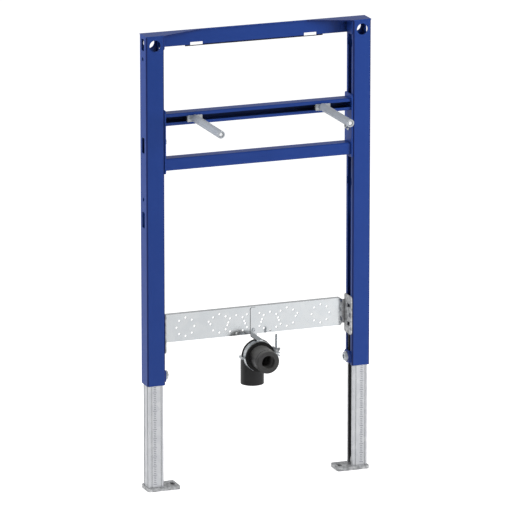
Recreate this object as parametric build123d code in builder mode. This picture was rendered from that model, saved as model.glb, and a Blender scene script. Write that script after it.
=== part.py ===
"""Basin installation frame: two floor-standing C-profile uprights with a top rail, telescopic
legs, a height-adjustable crossbar unit with two basin studs, and a drain rail that carries a
push-fit drain bend in a rubber-lined pipe clamp.

Millimetres. X runs to the right, Y to the back and Z up. The origin is on the floor, midway
between the bolt slots of the two foot plates. Right-hand pieces are modelled, left-hand ones
are their mirror images.
"""

import os

from build123d import *

os.makedirs("parts", exist_ok=True)

# Overall frame
frame_width = 500
frame_height = 980
slide_gap = 0.3
screw_fit = 0.2
cut_overrun = 1

# Uprights: cold-rolled C-profile, open towards the middle of the frame
profile_size = 40
profile_wall = 2
profile_bend = 3.5
profile_slot = 20
upright_length = 750
wall_hole_diameter = 24
wall_hole_drop = 21
side_slot_width = 15
side_slot_spans = ((8, 33), (218, 251), (377, 411))
side_slot_corner = 2
side_hole_diameter = 8.5
side_hole_drops = (51, 350)
lip_notch_height = 16
lip_notch_depth = 3
lip_notch_drops = (51, 350)

# Top rail: folded sheet with a web along the back, and a flange that widens to cover the uprights
rail_sheet = 2
rail_bend = 1.8
flange_depth = 6
gusset_length = 92
web_height = 33
web_lip_drop = 35.5
web_lip_left = 150
web_lip_right = 156
web_slot_length = 28
web_slot_height = 6.5
web_slot_left = 125
web_slot_right = 128
web_slot_rise = 1.5

# Corner brackets: angles that tie the top rail's web to the uprights
corner_sheet = 2
corner_height = 30
corner_tab = 15
corner_setback = 3
corner_round = 5

# Crossbar unit: two rolled bars between end plates
bar_height = 26
bar_depth = 28
bar_wall = 2
bar_bend = 3
bar_slot = 12
bar_setback = 4
rod_bar_drop = 168
lower_bar_drop = 263.5
end_plate_thickness = 3
end_plate_over = 8
end_plate_under = 6
end_plate_corner = 4
plate_screw_drop = 230
plate_screw_head = 12
plate_screw_head_height = 5
plate_screw_socket = 6
plate_screw_socket_depth = 3
plate_screw_washer = 20
plate_screw_washer_height = 1.6
plate_screw_shank = 8
plate_screw_nut_width = 28
plate_screw_nut_height = 16
plate_screw_nut_thickness = 5

# Basin studs: threaded rods in plastic sleeves, held by clamps in the rod bar
stud_spacing = 285
rod_diameter = 10
sleeve_diameter = 16.5
sleeve_length = 156
rod_recess = 1
clamp_width = 33
clamp_height = 14
clamp_front = 2.5
clamp_corner = 1.25
clamp_neck_width = 28
clamp_nut_height = 19
clamp_nut_thickness = 7

# Legs and feet: galvanised C-profile telescoping in the uprights
leg_clearance = 1
leg_wall = 2
leg_bend = 3.5
leg_lip = 7
leg_grip = 100
groove_width = 2.4
groove_depth = 0.8
groove_inset = 6.5
foot_length = 72
foot_depth = 46
foot_height = 8
foot_sheet = 3.5
foot_corner = 5
foot_edge = 1.5
foot_slot_width = 9
foot_slot_length = 22
foot_slot_inset = 11
foot_tab_base = 11
foot_tab_tip = 3
foot_tab_height = 15
foot_tab_sheet = 2
foot_tab_gap = 1

# Leg clamps near the lower ends of the uprights
boss_height = 26
boss_width = 30
boss_thickness = 4.5
boss_rise = 4
boss_corner = 6
boss_edge = 1.5
leg_bolt_diameter = 10
leg_bolt_flats = 17
leg_bolt_head = 7
leg_bolt_rim = 0.8
leg_bolt_rim_slope = 0.5
leg_bolt_socket = 9
leg_bolt_socket_depth = 4
leg_bolt_flange = 21
leg_bolt_flange_height = 1.8
leg_grip_fit = 0.8
leg_grip_plate_height = 20
leg_grip_plate_thickness = 4
leg_grip_gap = 0.5

# Drain rail: galvanised channel with rings of holes, on brackets that grip the uprights
drain_rail_rise = 82
drain_rail_height = 60
drain_rail_flange = 11.5
drain_rail_sheet = 2
drain_rail_corner = 5
rail_end_gap = 7
ring_diameter = 40
ring_hole_diameter = 4.5
ring_holes = 8
ring_pitch = 38
ring_drop = 5.7
ring_columns = ((0, 0), (1, 1), (2, 0), (4, 0))
single_hole_x = 100
single_hole_rise = 6
bracket_sheet = 2.5
bracket_height = 84
bracket_under = 14.5
bracket_corner = 6
tongue_overlap = 15
tongue_height = 52
bracket_hole_width = 14
bracket_hole_height = 8.5
bracket_hole_rise = 20
bracket_hole_forward = 5
bracket_slot_width = 5
bracket_slot_length = 10
bracket_slot_forward = 10
grip_tab_width = 12
grip_tab_height = 8
grip_tab_reach = 2

# Drain bracket: strip from the rail to the top of the pipe clamp
strip_width = 14
strip_sheet = 2
strip_corner = 4
strip_fold = 1.8
strip_drop = 5
strip_reach = 31.5
strip_over = 10

# Pipe clamp: two band halves round a rubber liner, closed by a bolt and a wing nut
liner_fit = 0.2
liner_thickness = 6
liner_width = 23
liner_lip_rise = 1.3
liner_front_drop = 0.4
band_thickness = 1.5
band_width = 16
band_gap = 0.2
band_boss_diameter = 12
bolt_ear_length = 13
hook_ear_length = 9
ear_thickness = 2
bolt_ear_gap = 4
hook_ear_gap = 0.4
clamp_bolt_diameter = 5
clamp_bolt_flats = 8
clamp_bolt_head = 3.5
clamp_bolt_rise = 43
clamp_bolt_offset = 6.5
wing_span = 26
wing_tip_width = 7
wing_round = 2.5
wing_height = 11
wing_thickness = 2.4
wing_hub = 10
wing_hub_height = 6
wing_turn = 55

# Drain bend and rubber collar
pipe_diameter = 50
pipe_wall = 3
bend_radius = 26
bend_start = 1
spigot_length = 70
socket_stand = 36.5
collar_diameter = 50
collar_length = 10
collar_bore = 29
collar_groove_width = 1.2
collar_groove_depth = 2
collar_insert = 14
collar_fit = 0.2
collar_round = 3

# Derived places
half_width = frame_width / 2
inner_face = half_width - profile_size
upright_x = half_width - profile_size / 2
front_face = -profile_size / 2
back_face = profile_size / 2
web_front = back_face - rail_sheet
upright_bottom = frame_height - upright_length
upright_top = frame_height - rail_sheet
leg_size = profile_size - 2 * profile_wall - 2 * leg_clearance
bar_front = front_face + bar_setback
bar_middle = bar_front + bar_depth / 2
rod_height = frame_height - rod_bar_drop - bar_height / 2
lower_bar_height = frame_height - lower_bar_drop - bar_height / 2
plate_face = inner_face - slide_gap
bar_end = plate_face - end_plate_thickness
lip_face = inner_face + profile_wall
leg_lip_face = lip_face + leg_clearance
leg_bolt_height = upright_bottom + boss_rise + boss_height / 2
wing_face = plate_face - bracket_sheet
drain_rail_bottom = upright_bottom + drain_rail_rise
drain_rail_middle = drain_rail_bottom + drain_rail_height / 2
drain_rail_front = back_face - bracket_sheet - drain_rail_sheet
drain_rail_length = 2 * (wing_face - rail_end_gap)
pipe_radius = pipe_diameter / 2
liner_bore = pipe_radius + liner_fit
liner_seat = liner_bore + liner_thickness
band_bore = liner_seat + band_gap
band_radius = band_bore + band_thickness
liner_radius = band_radius + liner_lip_rise
liner_front_radius = band_radius - liner_front_drop
liner_middle = drain_rail_front - strip_reach
strip_height = drain_rail_bottom - strip_drop
bend_axis_height = strip_height - liner_radius
liner_front = liner_middle - liner_width / 2
liner_back = liner_middle + liner_width / 2
pipe_front = liner_front - socket_stand
spigot_back = liner_back + bend_start + bend_radius
spigot_bottom = bend_axis_height - spigot_length


def write(part, name):
    """Label one finished piece and write its file."""
    part.label = name
    export_step(part, f"parts/{name}.step")


def write_pair(part, name):
    """Write a right-hand piece, and its mirror image as the left-hand one."""
    write(part, f"right_{name}")
    with BuildPart() as left:
        mirror(part, about=Plane.YZ)
    write(left.part, f"left_{name}")


def c_section(depth, height, wall, slot, bend):
    """Rolled C-section round its own centre, open towards its -x side."""
    with BuildSketch() as section:
        RectangleRounded(depth, height, bend)
        RectangleRounded(depth - 2 * wall, height - 2 * wall, bend - wall, mode=Mode.SUBTRACT)
        with Locations((-(depth - wall) / 2, 0)):
            Rectangle(wall, slot, mode=Mode.SUBTRACT)
    return section.sketch


# Upright: C-profile with wall-bolt hole, side slots and entry notches in its lips
with BuildPart() as upright:
    with BuildSketch(Plane.XY.offset(upright_bottom)):
        with Locations((upright_x, 0)):
            add(c_section(profile_size, profile_size, profile_wall, profile_slot, profile_bend))
    extrude(amount=upright_top - upright_bottom)
    with BuildSketch(Plane.XZ):
        with Locations((upright_x, frame_height - wall_hole_drop)):
            Circle(wall_hole_diameter / 2)
    extrude(amount=profile_size, both=True, mode=Mode.SUBTRACT)
    with BuildSketch(Plane.YZ.offset(half_width)):
        for slot_top, slot_bottom in side_slot_spans:
            with Locations((0, frame_height - (slot_top + slot_bottom) / 2)):
                RectangleRounded(side_slot_width, slot_bottom - slot_top, side_slot_corner)
        with Locations(*[(0, frame_height - drop) for drop in side_hole_drops]):
            Circle(side_hole_diameter / 2)
    extrude(amount=-profile_wall - cut_overrun, mode=Mode.SUBTRACT)
    with BuildSketch(Plane.YZ.offset(inner_face)):
        with Locations(*[(0, frame_height - drop) for drop in lip_notch_drops]):
            Rectangle(profile_slot + 2 * lip_notch_depth, lip_notch_height)
    extrude(amount=profile_wall + cut_overrun, mode=Mode.SUBTRACT)
write_pair(upright.part, "upright")

# Top rail: flange as deep as the uprights at its ends and narrow between its gussets, web with
# a deeper lip and two slots
with BuildPart() as top_rail:
    with BuildSketch(Plane.XY.offset(upright_top)):
        Rectangle(frame_width, profile_size)
        with BuildLine():
            Polyline(
                (-inner_face, front_face),
                (inner_face, front_face),
                (inner_face - gusset_length, back_face - flange_depth),
                (gusset_length - inner_face, back_face - flange_depth),
                close=True,
            )
        make_face(mode=Mode.SUBTRACT)
    extrude(amount=rail_sheet)
    with BuildSketch(Plane.XZ.offset(-back_face)):
        with Locations((0, frame_height)):
            Rectangle(2 * inner_face, web_height, align=(Align.CENTER, Align.MAX))
        with Locations((-web_lip_left, frame_height)):
            Rectangle(web_lip_left + web_lip_right, web_lip_drop, align=(Align.MIN, Align.MAX))
        slot_bottom = frame_height - web_lip_drop + web_slot_rise
        with Locations((-web_slot_left, slot_bottom), (web_slot_right, slot_bottom)):
            Rectangle(
                web_slot_length, web_slot_height, align=(Align.CENTER, Align.MIN), mode=Mode.SUBTRACT
            )
    extrude(amount=rail_sheet)
    fillet(top_rail.edges().filter_by(Axis.X).group_by(Axis.Z)[-1].sort_by(Axis.Y)[-1], rail_bend)
write(top_rail.part, "top_rail")

# Corner bracket: wing over the slot's upper end on the upright, tab on the front of the web
with BuildPart() as corner_bracket:
    with BuildSketch(Plane.XY.offset(upright_top - corner_height)):
        with Locations((inner_face, web_front)):
            wing_depth = web_front - front_face - corner_setback
            Rectangle(corner_sheet, wing_depth, align=(Align.MAX, Align.MAX))
            Rectangle(corner_tab, corner_sheet, align=(Align.MAX, Align.MAX))
    extrude(amount=corner_height)
    fillet(corner_bracket.edges().filter_by(Axis.X).group_by(Axis.Z)[0].sort_by(Axis.Y)[0], corner_round)
    fillet(corner_bracket.edges().filter_by(Axis.Y).group_by(Axis.Z)[0].sort_by(Axis.X)[0], corner_round)
write_pair(corner_bracket.part, "corner_bracket")

# Rod bar: slot to the front, for the stud clamps
with BuildPart() as rod_bar:
    with BuildSketch(Plane.YZ.offset(-bar_end)):
        with Locations((bar_middle, rod_height)):
            add(c_section(bar_depth, bar_height, bar_wall, bar_slot, bar_bend))
    extrude(amount=2 * bar_end)
write(rod_bar.part, "rod_bar")

# Lower bar: the same rolled section turned round, slot to the back
with BuildPart() as lower_bar:
    with BuildSketch(Plane.YZ.offset(-bar_end)):
        with Locations((bar_middle, lower_bar_height)):
            add(c_section(bar_depth, bar_height, bar_wall, bar_slot, bar_bend), rotation=180)
    extrude(amount=2 * bar_end)
write(lower_bar.part, "lower_bar")

# End plate: carries both bars and slides on the upright's inner face
plate_top = rod_height + bar_height / 2 + end_plate_over
plate_bottom = lower_bar_height - bar_height / 2 - end_plate_under
plate_screw_height = frame_height - plate_screw_drop
with BuildPart() as end_plate:
    with BuildSketch(Plane.YZ.offset(bar_end)):
        with Locations((0, (plate_top + plate_bottom) / 2)):
            RectangleRounded(profile_size, plate_top - plate_bottom, end_plate_corner)
        with Locations((0, plate_screw_height)):
            Circle(plate_screw_shank / 2 + screw_fit, mode=Mode.SUBTRACT)
    extrude(amount=end_plate_thickness)
write_pair(end_plate.part, "end_plate")

# Plate screw: washer head outside, hammer nut behind the lips of the upright
with BuildPart() as plate_screw:
    with BuildSketch(Plane.YZ.offset(bar_end)):
        with Locations((0, plate_screw_height)):
            Circle(plate_screw_washer / 2)
    extrude(amount=-plate_screw_washer_height)
    with BuildSketch(Plane.YZ.offset(bar_end - plate_screw_washer_height)):
        with Locations((0, plate_screw_height)):
            Circle(plate_screw_head / 2)
    extrude(amount=-plate_screw_head_height)
    with BuildSketch(Plane.YZ.offset(bar_end - plate_screw_washer_height - plate_screw_head_height)):
        with Locations((0, plate_screw_height)):
            RegularPolygon(plate_screw_socket / 2, 6, major_radius=False)
    extrude(amount=plate_screw_socket_depth, mode=Mode.SUBTRACT)
    with BuildSketch(Plane.YZ.offset(bar_end)):
        with Locations((0, plate_screw_height)):
            Circle(plate_screw_shank / 2)
    extrude(amount=lip_face + slide_gap - bar_end)
    with BuildSketch(Plane.YZ.offset(lip_face + slide_gap)):
        with Locations((0, plate_screw_height)):
            Rectangle(plate_screw_nut_width, plate_screw_nut_height)
    extrude(amount=plate_screw_nut_thickness)
write_pair(plate_screw.part, "plate_screw")

# Stud clamp: front plate, neck through the slot and nut behind the lips of the rod bar
stud_x = stud_spacing / 2
clamp_face = bar_front - slide_gap - clamp_front
nut_face = bar_front + bar_wall + slide_gap
with BuildPart() as rod_clamp:
    with BuildSketch(Plane.XZ.offset(-clamp_face)):
        with Locations((stud_x, rod_height)):
            RectangleRounded(clamp_width, clamp_height, clamp_corner)
    extrude(amount=-clamp_front)
    with BuildSketch(Plane.XZ.offset(-clamp_face)):
        with Locations((stud_x, rod_height)):
            Rectangle(clamp_neck_width, bar_slot - 2 * slide_gap)
    extrude(amount=clamp_face - nut_face)
    with BuildSketch(Plane.XZ.offset(-nut_face)):
        with Locations((stud_x, rod_height)):
            Rectangle(clamp_width, clamp_nut_height)
    extrude(amount=-clamp_nut_thickness)
    with BuildSketch(Plane.XZ.offset(-clamp_face)):
        with Locations((stud_x, rod_height)):
            Circle(rod_diameter / 2 + screw_fit)
    extrude(amount=-bar_depth, mode=Mode.SUBTRACT)
write_pair(rod_clamp.part, "rod_clamp")

# Stud: threaded rod from the clamp's nut to the front end of its sleeve
sleeve_front = clamp_face - sleeve_length
rod_back = nut_face + clamp_nut_thickness
rod_front = sleeve_front + rod_recess
with BuildPart() as rod:
    with BuildSketch(Plane.XZ.offset(-rod_back)):
        with Locations((stud_x, rod_height)):
            Circle(rod_diameter / 2)
    extrude(amount=rod_back - rod_front)
    chamfer(rod.faces().sort_by(Axis.Y)[0].edges(), rod_recess)
write_pair(rod.part, "rod")

# Sleeve: plastic tube over the rod, up against the clamp
with BuildPart() as sleeve:
    with BuildSketch(Plane.XZ.offset(-clamp_face)):
        with Locations((stud_x, rod_height)):
            Circle(sleeve_diameter / 2)
            Circle(rod_diameter / 2 + screw_fit, mode=Mode.SUBTRACT)
    extrude(amount=sleeve_length)
write_pair(sleeve.part, "sleeve")

# Leg: C-profile with long grooves, open side the same way as the upright's slot
leg_top = upright_bottom + leg_grip
groove_x = leg_size / 2 - groove_inset
with BuildPart() as leg:
    with BuildSketch(Plane.XY.offset(foot_height)):
        with Locations((upright_x, 0)):
            add(c_section(leg_size, leg_size, leg_wall, leg_size - 2 * leg_lip, leg_bend))
        for side in (-1, 1):
            with Locations(
                (upright_x - groove_x, side * leg_size / 2), (upright_x + groove_x, side * leg_size / 2)
            ):
                Rectangle(groove_width, 2 * groove_depth, mode=Mode.SUBTRACT)
            with Locations((upright_x + leg_size / 2, side * groove_x)):
                Rectangle(2 * groove_depth, groove_width, mode=Mode.SUBTRACT)
    extrude(amount=leg_top - foot_height)
write_pair(leg.part, "leg")

# Foot plate: pressed tray under the leg, bolt slot at its inner end, tab that centres the leg
foot_inner = half_width - foot_length
foot_middle = half_width - foot_length / 2
with BuildPart() as foot_plate:
    with BuildSketch():
        with Locations((foot_middle, 0)):
            RectangleRounded(foot_length, foot_depth, foot_corner)
    extrude(amount=foot_height)
    fillet(foot_plate.faces().sort_by(Axis.Z)[-1].edges(), foot_edge)
    with BuildSketch():
        with Locations((foot_middle, 0)):
            RectangleRounded(
                foot_length - 2 * foot_sheet, foot_depth - 2 * foot_sheet, foot_corner - foot_sheet
            )
    extrude(amount=foot_height - foot_sheet, mode=Mode.SUBTRACT)
    with BuildSketch():
        with Locations((foot_inner + foot_slot_inset, 0)):
            SlotOverall(foot_slot_length, foot_slot_width, rotation=90)
    extrude(amount=foot_height, mode=Mode.SUBTRACT)
    with BuildSketch(Plane.YZ.offset(leg_lip_face + leg_wall + foot_tab_gap)):
        with BuildLine():
            Polyline(
                (-foot_tab_base / 2, foot_height),
                (foot_tab_base / 2, foot_height),
                (foot_tab_tip / 2, foot_height + foot_tab_height),
                (-foot_tab_tip / 2, foot_height + foot_tab_height),
                close=True,
            )
        make_face()
    extrude(amount=foot_tab_sheet)
write_pair(foot_plate.part, "foot_plate")

# Clamp boss: pressed plate on the upright's lips that backs the leg bolt
with BuildPart() as clamp_boss:
    with BuildSketch(Plane.YZ.offset(inner_face)):
        with Locations((0, leg_bolt_height)):
            RectangleRounded(boss_width, boss_height, boss_corner)
            Circle(leg_bolt_diameter / 2 + screw_fit, mode=Mode.SUBTRACT)
    extrude(amount=-boss_thickness)
    chamfer(clamp_boss.faces().sort_by(Axis.X)[0].outer_wire().edges(), boss_edge)
write_pair(clamp_boss.part, "clamp_boss")

# Leg bolt: flanged hexagon head on the boss, rim turned to a cone, grip plate behind the leg's lips
boss_face = inner_face - boss_thickness
grip_face = leg_lip_face + leg_wall + leg_grip_gap
with BuildPart() as leg_bolt:
    with BuildSketch(Plane.YZ.offset(boss_face)):
        with Locations((0, leg_bolt_height)):
            RegularPolygon(leg_bolt_flats / 2, 6, major_radius=False)
    extrude(amount=-leg_bolt_head)
    rim_radius = leg_bolt_flats / 2 - leg_bolt_rim
    with BuildSketch(Plane.XZ):
        with BuildLine():
            Polyline(
                (boss_face, leg_bolt_height),
                (boss_face, leg_bolt_height + leg_bolt_flats),
                (boss_face - leg_bolt_head + leg_bolt_flats * leg_bolt_rim_slope,
                 leg_bolt_height + leg_bolt_flats + rim_radius),
                (boss_face - leg_bolt_head, leg_bolt_height + rim_radius),
                (boss_face - leg_bolt_head, leg_bolt_height),
                close=True,
            )
        make_face()
    revolve(axis=Axis((0, 0, leg_bolt_height), (1, 0, 0)), mode=Mode.INTERSECT)
    with BuildSketch(Plane.YZ.offset(boss_face - leg_bolt_head)):
        with Locations((0, leg_bolt_height)):
            RegularPolygon(leg_bolt_socket / 2, 6, major_radius=False)
    extrude(amount=leg_bolt_socket_depth, mode=Mode.SUBTRACT)
    with BuildSketch(Plane.YZ.offset(boss_face)):
        with Locations((0, leg_bolt_height)):
            Circle(leg_bolt_flange / 2)
    extrude(amount=-leg_bolt_flange_height)
    with BuildSketch(Plane.YZ.offset(boss_face)):
        with Locations((0, leg_bolt_height)):
            Circle(leg_bolt_diameter / 2)
    extrude(amount=grip_face - boss_face)
    with BuildSketch(Plane.YZ.offset(grip_face)):
        with Locations((0, leg_bolt_height)):
            Rectangle(leg_size - 2 * leg_wall - 2 * leg_grip_fit, leg_grip_plate_height)
    extrude(amount=leg_grip_plate_thickness)
write_pair(leg_bolt.part, "leg_bolt")

# Drain rail: channel with its flanges to the back and rings of clamp holes in its web
with BuildPart() as drain_rail:
    with BuildSketch(Plane.XZ.offset(-drain_rail_front)):
        with Locations((0, drain_rail_middle)):
            RectangleRounded(drain_rail_length, drain_rail_height, drain_rail_corner)
    extrude(amount=-drain_rail_flange)
    with BuildSketch(Plane.XZ.offset(-drain_rail_front - drain_rail_sheet)):
        with Locations((0, drain_rail_middle)):
            Rectangle(drain_rail_length, drain_rail_height - 2 * drain_rail_sheet)
    extrude(amount=-drain_rail_flange, mode=Mode.SUBTRACT)
    with BuildSketch(Plane.XZ.offset(-drain_rail_front)):
        for column, lowered in ring_columns:
            ring_height = drain_rail_middle - lowered * ring_drop
            for ring_x in {-column * ring_pitch, column * ring_pitch}:
                with Locations((ring_x, ring_height)):
                    with PolarLocations(ring_diameter / 2, ring_holes):
                        Circle(ring_hole_diameter / 2)
        single_hole_height = drain_rail_middle + single_hole_rise
        with Locations((-single_hole_x, single_hole_height), (single_hole_x, single_hole_height)):
            Circle(ring_hole_diameter / 2)
    extrude(amount=-drain_rail_sheet, mode=Mode.SUBTRACT)
write(drain_rail.part, "drain_rail")

# Rail bracket: wing on the upright's inner face, tongue behind the drain rail's end
bracket_middle = drain_rail_bottom - bracket_under + bracket_height / 2
with BuildPart() as rail_bracket:
    with BuildSketch(Plane.YZ.offset(wing_face)):
        with Locations((0, bracket_middle)):
            RectangleRounded(profile_size, bracket_height, bracket_corner)
        with Locations(
            (-bracket_hole_forward, bracket_middle - bracket_hole_rise),
            (-bracket_hole_forward, bracket_middle + bracket_hole_rise),
        ):
            Rectangle(bracket_hole_width, bracket_hole_height, mode=Mode.SUBTRACT)
        with Locations((-bracket_slot_forward, bracket_middle)):
            SlotOverall(bracket_slot_length, bracket_slot_width, rotation=90, mode=Mode.SUBTRACT)
    extrude(amount=bracket_sheet)
    with BuildSketch(Plane.XZ.offset(-back_face)):
        with Locations((plate_face, drain_rail_middle)):
            tongue_reach = bracket_sheet + rail_end_gap + tongue_overlap
            Rectangle(tongue_reach, tongue_height, align=(Align.MAX, Align.CENTER))
    extrude(amount=bracket_sheet)
    with BuildSketch(Plane.YZ.offset(plate_face)):
        tab_middle = bracket_hole_rise + (bracket_hole_height + grip_tab_height) / 2
        with Locations((0, bracket_middle - tab_middle), (0, bracket_middle + tab_middle)):
            Rectangle(grip_tab_width, grip_tab_height)
    extrude(amount=slide_gap + grip_tab_reach)
write_pair(rail_bracket.part, "rail_bracket")

# Drain bracket: strip down the front of the rail, then forward over the pipe clamp
strip_front = liner_middle - strip_over
strip_top = drain_rail_bottom + drain_rail_height - drain_rail_sheet
with BuildPart() as drain_bracket:
    with BuildSketch(Plane.XZ.offset(-drain_rail_front)):
        with Locations((0, strip_height)):
            Rectangle(strip_width, strip_top - strip_height, align=(Align.CENTER, Align.MIN))
    extrude(amount=strip_sheet)
    with BuildSketch(Plane.XY.offset(strip_height)):
        with Locations((0, drain_rail_front)):
            Rectangle(strip_width, drain_rail_front - strip_front, align=(Align.CENTER, Align.MAX))
    extrude(amount=strip_sheet)
    fillet(drain_bracket.edges().filter_by(Axis.Y).group_by(Axis.Z)[-1], strip_corner)
    fillet(drain_bracket.edges().filter_by(Axis.Z).group_by(Axis.Y)[0], strip_corner)
    outer_fold = drain_bracket.edges().filter_by(Axis.X).group_by(Axis.Z)[0].sort_by(Axis.Y)[-1]
    fillet(outer_fold, strip_fold)
write(drain_bracket.part, "drain_bracket")

bolt_x = band_radius + clamp_bolt_offset


def clamp_half(side):
    """Half of the clamp band, above (1) or below (-1) the pipe's middle, with an ear at each end."""
    band_back = Plane.XZ.offset(-liner_middle - band_width / 2)
    towards_middle = Align.MAX if side > 0 else Align.MIN
    away_from_middle = Align.MIN if side > 0 else Align.MAX
    with BuildPart() as half:
        with BuildSketch(band_back):
            with Locations((0, bend_axis_height)):
                Circle(band_radius)
            with Locations((0, bend_axis_height + side * bolt_ear_gap / 2)):
                Rectangle(
                    band_radius, 2 * band_radius, align=(Align.MIN, towards_middle), mode=Mode.SUBTRACT
                )
                Rectangle(
                    band_radius + bolt_ear_length, ear_thickness, align=(Align.MIN, away_from_middle)
                )
            with Locations((0, bend_axis_height + side * hook_ear_gap / 2)):
                Rectangle(
                    band_radius, 2 * band_radius, align=(Align.MAX, towards_middle), mode=Mode.SUBTRACT
                )
                Rectangle(
                    band_radius + hook_ear_length, ear_thickness, align=(Align.MAX, away_from_middle)
                )
            with Locations((0, bend_axis_height)):
                Circle(band_bore, mode=Mode.SUBTRACT)
        extrude(amount=band_width)
        with BuildSketch(Plane.XY.offset(bend_axis_height)):
            with Locations((bolt_x, liner_middle)):
                Circle(clamp_bolt_diameter / 2 + screw_fit)
        extrude(amount=side * band_radius, mode=Mode.SUBTRACT)
        if side > 0:
            with BuildSketch(Plane.XY.offset(strip_height)):
                with Locations((0, liner_middle)):
                    Circle(band_boss_diameter / 2)
            extrude(amount=band_bore - liner_radius + band_thickness / 2)
            with BuildSketch(band_back):
                with Locations((0, bend_axis_height)):
                    Circle(band_bore)
            extrude(amount=band_width, mode=Mode.SUBTRACT)
    return half.part


# Clamp band: upper half with a boss under the strip, lower half below the pipe
write(clamp_half(1), "upper_clamp_band")
write(clamp_half(-1), "lower_clamp_band")

# Clamp liner: rubber ring between pipe and band, with a lip on each side that keeps the band in place
with BuildPart() as clamp_liner:
    with BuildSketch(Plane.YZ):
        with BuildLine():
            Polyline(
                (liner_back, bend_axis_height + liner_bore),
                (liner_back, bend_axis_height + liner_radius),
                (liner_middle + band_width / 2 + band_gap, bend_axis_height + liner_radius),
                (liner_middle + band_width / 2 + band_gap, bend_axis_height + liner_seat),
                (liner_middle - band_width / 2 - band_gap, bend_axis_height + liner_seat),
                (liner_middle - band_width / 2 - band_gap, bend_axis_height + liner_front_radius),
                (liner_front, bend_axis_height + liner_front_radius),
                (liner_front, bend_axis_height + liner_bore),
                close=True,
            )
        make_face()
    revolve(axis=Axis((0, 0, bend_axis_height), (0, 1, 0)))
write(clamp_liner.part, "clamp_liner")

# Clamp bolt: head under the lower ear, shank up through both ears
ear_underside = bend_axis_height - bolt_ear_gap / 2 - ear_thickness
with BuildPart() as clamp_bolt:
    with BuildSketch(Plane.XY.offset(ear_underside - clamp_bolt_head)):
        with Locations((bolt_x, liner_middle)):
            RegularPolygon(clamp_bolt_flats / 2, 6, major_radius=False)
    extrude(amount=clamp_bolt_head)
    with BuildSketch(Plane.XY.offset(ear_underside)):
        with Locations((bolt_x, liner_middle)):
            Circle(clamp_bolt_diameter / 2)
    extrude(amount=bend_axis_height + clamp_bolt_rise - ear_underside)
write(clamp_bolt.part, "clamp_bolt")

# Wing nut: hub and two wings on top of the upper ear
ear_top = bend_axis_height + bolt_ear_gap / 2 + ear_thickness
wing_plane = Plane(
    origin=(bolt_x, liner_middle, ear_top),
    x_dir=Vector(1, 0, 0).rotate(Axis.Z, -wing_turn),
    z_dir=Vector(0, -1, 0).rotate(Axis.Z, -wing_turn),
)
with BuildPart() as wing_nut:
    with BuildSketch(Plane.XY.offset(ear_top)):
        with Locations((bolt_x, liner_middle)):
            Circle(wing_hub / 2)
    extrude(amount=wing_hub_height)
    with BuildSketch(wing_plane):
        with BuildLine():
            Polyline(
                (-wing_hub / 2, 0),
                (wing_hub / 2, 0),
                (wing_span / 2, wing_height),
                (wing_span / 2 - wing_tip_width, wing_height),
                (0, wing_hub_height),
                (wing_tip_width - wing_span / 2, wing_height),
                (-wing_span / 2, wing_height),
                close=True,
            )
        wing_outline = make_face()
        fillet(wing_outline.vertices().group_by(Axis.Y)[-1], wing_round)
    extrude(amount=wing_thickness / 2, both=True)
    with BuildSketch(Plane.XY.offset(ear_top)):
        with Locations((bolt_x, liner_middle)):
            Circle(clamp_bolt_diameter / 2 + screw_fit)
    extrude(amount=wing_height, mode=Mode.SUBTRACT)
write(wing_nut.part, "wing_nut")

# Drain bend: pipe swept from the spigot at the bottom to the socket at the front
with BuildPart() as drain_bend:
    with BuildLine(Plane.YZ) as bend_path:
        FilletPolyline(
            (spigot_back, spigot_bottom),
            (spigot_back, bend_axis_height),
            (pipe_front, bend_axis_height),
            radius=bend_radius,
        )
    with BuildSketch(Plane.XY.offset(spigot_bottom)):
        with Locations((0, spigot_back)):
            Circle(pipe_radius)
            Circle(pipe_radius - pipe_wall, mode=Mode.SUBTRACT)
    sweep(path=bend_path.wires()[0])
write(drain_bend.part, "drain_bend")

# Rubber collar: rim on the socket's front behind a narrow groove, plug in the socket, and a round
# opening for the trap's outlet pipe
with BuildPart() as rubber_collar:
    with BuildSketch(Plane.XZ.offset(-pipe_front)):
        with Locations((0, bend_axis_height)):
            Circle(collar_diameter / 2)
    extrude(amount=collar_length)
    fillet(rubber_collar.faces().sort_by(Axis.Y)[0].edges(), collar_round)
    with BuildSketch(Plane.XZ.offset(-pipe_front)):
        with Locations((0, bend_axis_height)):
            Circle(collar_diameter / 2)
            Circle(collar_diameter / 2 - collar_groove_depth, mode=Mode.SUBTRACT)
    extrude(amount=collar_groove_width, mode=Mode.SUBTRACT)
    with BuildSketch(Plane.XZ.offset(-pipe_front)):
        with Locations((0, bend_axis_height)):
            Circle(pipe_radius - pipe_wall - collar_fit)
    extrude(amount=-collar_insert)
    with BuildSketch(Plane.XZ.offset(collar_length - pipe_front)):
        with Locations((0, bend_axis_height)):
            Circle(collar_bore / 2)
    extrude(amount=-collar_length - collar_insert, mode=Mode.SUBTRACT)
write(rubber_collar.part, "rubber_collar")
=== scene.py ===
import math

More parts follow.
